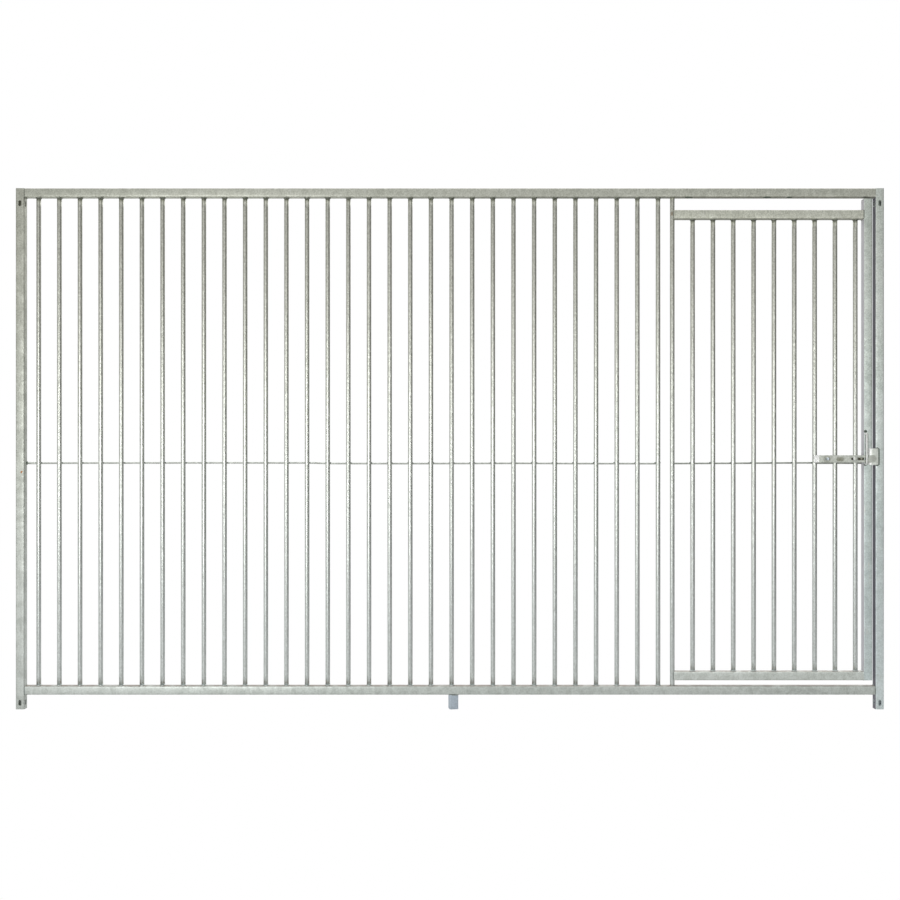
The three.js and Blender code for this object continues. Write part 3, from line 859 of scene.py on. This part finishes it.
# The cross rod's end on the left post and the drips under the top rail go with the tacks.
places, sizes = rod_tacks("panel_cross_rod", FIXED_BARS)
places.append((rod_low.x + 0.5 * MM, rod_high.y - 3 * MM, rod_height - 1 * MM))
sizes.append((3.0 * MM, 4.8 * MM, 6.0 * MM))
for x, half_length in RAIL_DRIPS:
    places.append((x, FRONT_FACES_Y + 4 * MM, top_rail_low.z - 0.5 * MM))
    sizes.append((half_length, 3 * MM, 2.4 * MM))
blob_piece("panel_rod_tacks", places, sizes, "panel")

# The welds of the handle's two legs go with the door's tacks; their dark is the welds' own and also
# paints the shade where the legs meet the stile.
places, sizes = rod_tacks("door_cross_rod", DOOR_BARS)
for height, half_height in ((handle_high.z + 4.0 * MM, 5.2 * MM),
                            (handle_low.z + 2.0 * MM, 4.6 * MM)):
    places.append(((handle_low.x + handle_high.x) / 2, stile_low.y - 0.4 * MM, height))
    sizes.append((5.6 * MM, 3.0 * MM, half_height))
blob_piece("door_tacks", places, sizes, "door")


# ---------------------------------------------------------------- stage, light, camera

FLOOR_REACH = 4.5
FLOOR_MIDDLE, FLOOR_ASIDE = (0.50, 0.50, 0.50), (0.30, 0.30, 0.30)
ASIDE_BAND = (0.25, 1.2)  # how far from the object the floor turns darker
BACK_BAND = (0.3, 0.7)  # how far behind the object its own light changes
ACROSS_BAND = (-0.8, 0.8)  # where the light at the back fades, from left to right
UNDER_GLOW, BACK_GLOW = 0.17, 0.50
AMBIENT = 0.05
HORIZON_BAND = 0.17  # how high the light along the horizon reaches
SKY_GLOWS = (  # azimuth from the front to the right, height, focus, strength, along the horizon
    (150, 40, 8, 1.90, False),
    (-150, 40, 8, 1.00, False),
    (0, 90, 2, 0.80, False),
    (0, 45, 6, 0.32, False),
    (-80, 0, 4, 1.20, True),
    (180, 0, 2, 0.45, True),
    (0, 0, 4, 0.28, False),
)


def floor_paint():
    """Matt paint that lights the object from below; the camera sees plain white."""
    material = bpy.data.materials.new("floor_paint")
    material.use_nodes = True
    w = Wiring(material.node_tree)
    material.node_tree.nodes.clear()
    place = w.node("ShaderNodeTexCoord").outputs["Object"]
    x, y = w.along(place, "X"), w.along(place, "Y")
    matt = w.node("ShaderNodeBsdfDiffuse")
    aside = w.step(w.maths("ABSOLUTE", y), *ASIDE_BAND)
    w.feed(matt.inputs["Color"], w.mix(aside, FLOOR_MIDDLE, FLOOR_ASIDE))
    bounce = w.node("ShaderNodeEmission")
    under = w.step(y, *BACK_BAND, UNDER_GLOW, 0.0)
    behind = w.maths("MULTIPLY", w.step(y, *BACK_BAND), w.step(x, *ACROSS_BAND, BACK_GLOW, 0.0))
    w.feed(bounce.inputs["Strength"], w.maths("ADD", under, behind))
    both = w.node("ShaderNodeAddShader")
    w.feed(both.inputs[0], matt.outputs[0])
    w.feed(both.inputs[1], bounce.outputs[0])
    lit = w.node("ShaderNodeEmission")
    lit.inputs["Color"].default_value = WHITE
    seen = w.node("ShaderNodeMixShader")
    w.feed(seen.inputs[0], w.node("ShaderNodeLightPath").outputs["Is Camera Ray"])
    w.feed(seen.inputs[1], both.outputs[0])
    w.feed(seen.inputs[2], lit.outputs[0])
    end = w.node("ShaderNodeOutputMaterial")
    w.feed(end.inputs["Surface"], seen.outputs[0])
    return material


def towards(w, sky, azimuth, height, focus):
    """1 in one direction, less with the angle from it."""
    turn, lift = math.radians(azimuth), math.radians(height)
    aim = (math.sin(turn) * math.cos(lift), -math.cos(turn) * math.cos(lift), math.sin(lift))
    facing = w.maths("MAXIMUM", w.vector_maths("DOT_PRODUCT", sky, aim), 0.0)
    return w.maths("POWER", facing, focus)


def studio():
    """Soft light from all round, for the zinc to mirror; the camera sees plain white."""
    world = bpy.data.worlds.new("studio")
    world.use_nodes = True
    w = Wiring(world.node_tree)
    world.node_tree.nodes.clear()
    sky = w.node("ShaderNodeTexCoord").outputs["Generated"]
    steepness = w.maths("DIVIDE", w.along(sky, "Z"), HORIZON_BAND)
    fall = w.maths("MULTIPLY", w.maths("MULTIPLY", steepness, steepness), -1.0)
    horizon = w.maths("POWER", math.e, fall)
    glow = AMBIENT
    for azimuth, height, focus, strength, low in SKY_GLOWS:
        part = towards(w, sky, azimuth, height, focus)
        if low:
            part = w.maths("MULTIPLY", part, horizon)
        glow = w.maths("ADD", glow, w.maths("MULTIPLY", part, strength))
    shown = w.mix(w.node("ShaderNodeLightPath").outputs["Is Camera Ray"], glow, WHITE)
    background = w.node("ShaderNodeBackground")
    w.feed(background.inputs["Color"], shown)
    end = w.node("ShaderNodeOutputWorld")
    w.feed(end.inputs["Surface"], background.outputs[0])
    return world


def soft_box(name, place, aim, width, height, power):
    """An area light at a place, turned to what it aims at; the camera doesn't see it."""
    lamp = bpy.data.lights.new(name, "AREA")
    lamp.shape = "RECTANGLE"
    lamp.size, lamp.size_y = width, height
    lamp.energy = power
    stand = bpy.data.objects.new(name, lamp)
    bpy.context.scene.collection.objects.link(stand)
    stand.location = place
    stand.rotation_euler = (Vector(aim) - Vector(place)).to_track_quat("-Z", "Y").to_euler()
    stand.visible_camera = False


floor_mesh = bpy.data.meshes.new("floor")
floor_mesh.from_pydata([(x * FLOOR_REACH, y * FLOOR_REACH, 0)
                        for x, y in ((-1, -1), (1, -1), (1, 1), (-1, 1))], [], [(0, 1, 2, 3)])
floor_mesh.materials.append(floor_paint())
floor = new_object("floor", floor_mesh)
bpy.context.scene.world = studio()
soft_box("key_box", (-1.55, -3.3, 0.90), (-0.6, 0.0, 0.9), 1.1, 1.4, 31)
soft_box("bevel_box", (0.771, -3.9, 0.892), (1.261, 0.0, 0.865), 0.35, 0.35, 0.6)
soft_box("right_box", (1.9, -3.85, 1.25), (0.9, 0.0, 1.25), 1.0, 0.9, 12)

PICTURE_SPAN = 3.108  # width seen at the front faces
CAMERA_DISTANCE = 3.9
CAMERA_HEIGHT = 0.837
PICTURE_MIDDLE = (0.0005, 0.8957)  # what the picture's centre shows on the front faces
camera_data = bpy.data.cameras.new("camera")
camera = bpy.data.objects.new("camera", camera_data)
bpy.context.scene.collection.objects.link(camera)
camera.location = (PICTURE_MIDDLE[0], FRONT_FACES_Y - CAMERA_DISTANCE, CAMERA_HEIGHT)
camera.rotation_euler = (math.pi / 2, 0, 0)
camera_data.sensor_fit = "HORIZONTAL"
camera_data.sensor_width = 36
camera_data.lens = camera_data.sensor_width * CAMERA_DISTANCE / PICTURE_SPAN
camera_data.shift_y = (PICTURE_MIDDLE[1] - CAMERA_HEIGHT) / PICTURE_SPAN
bpy.context.scene.camera = camera
bpy.context.scene.view_settings.view_transform = "Standard"

bpy.context.view_layer.update()
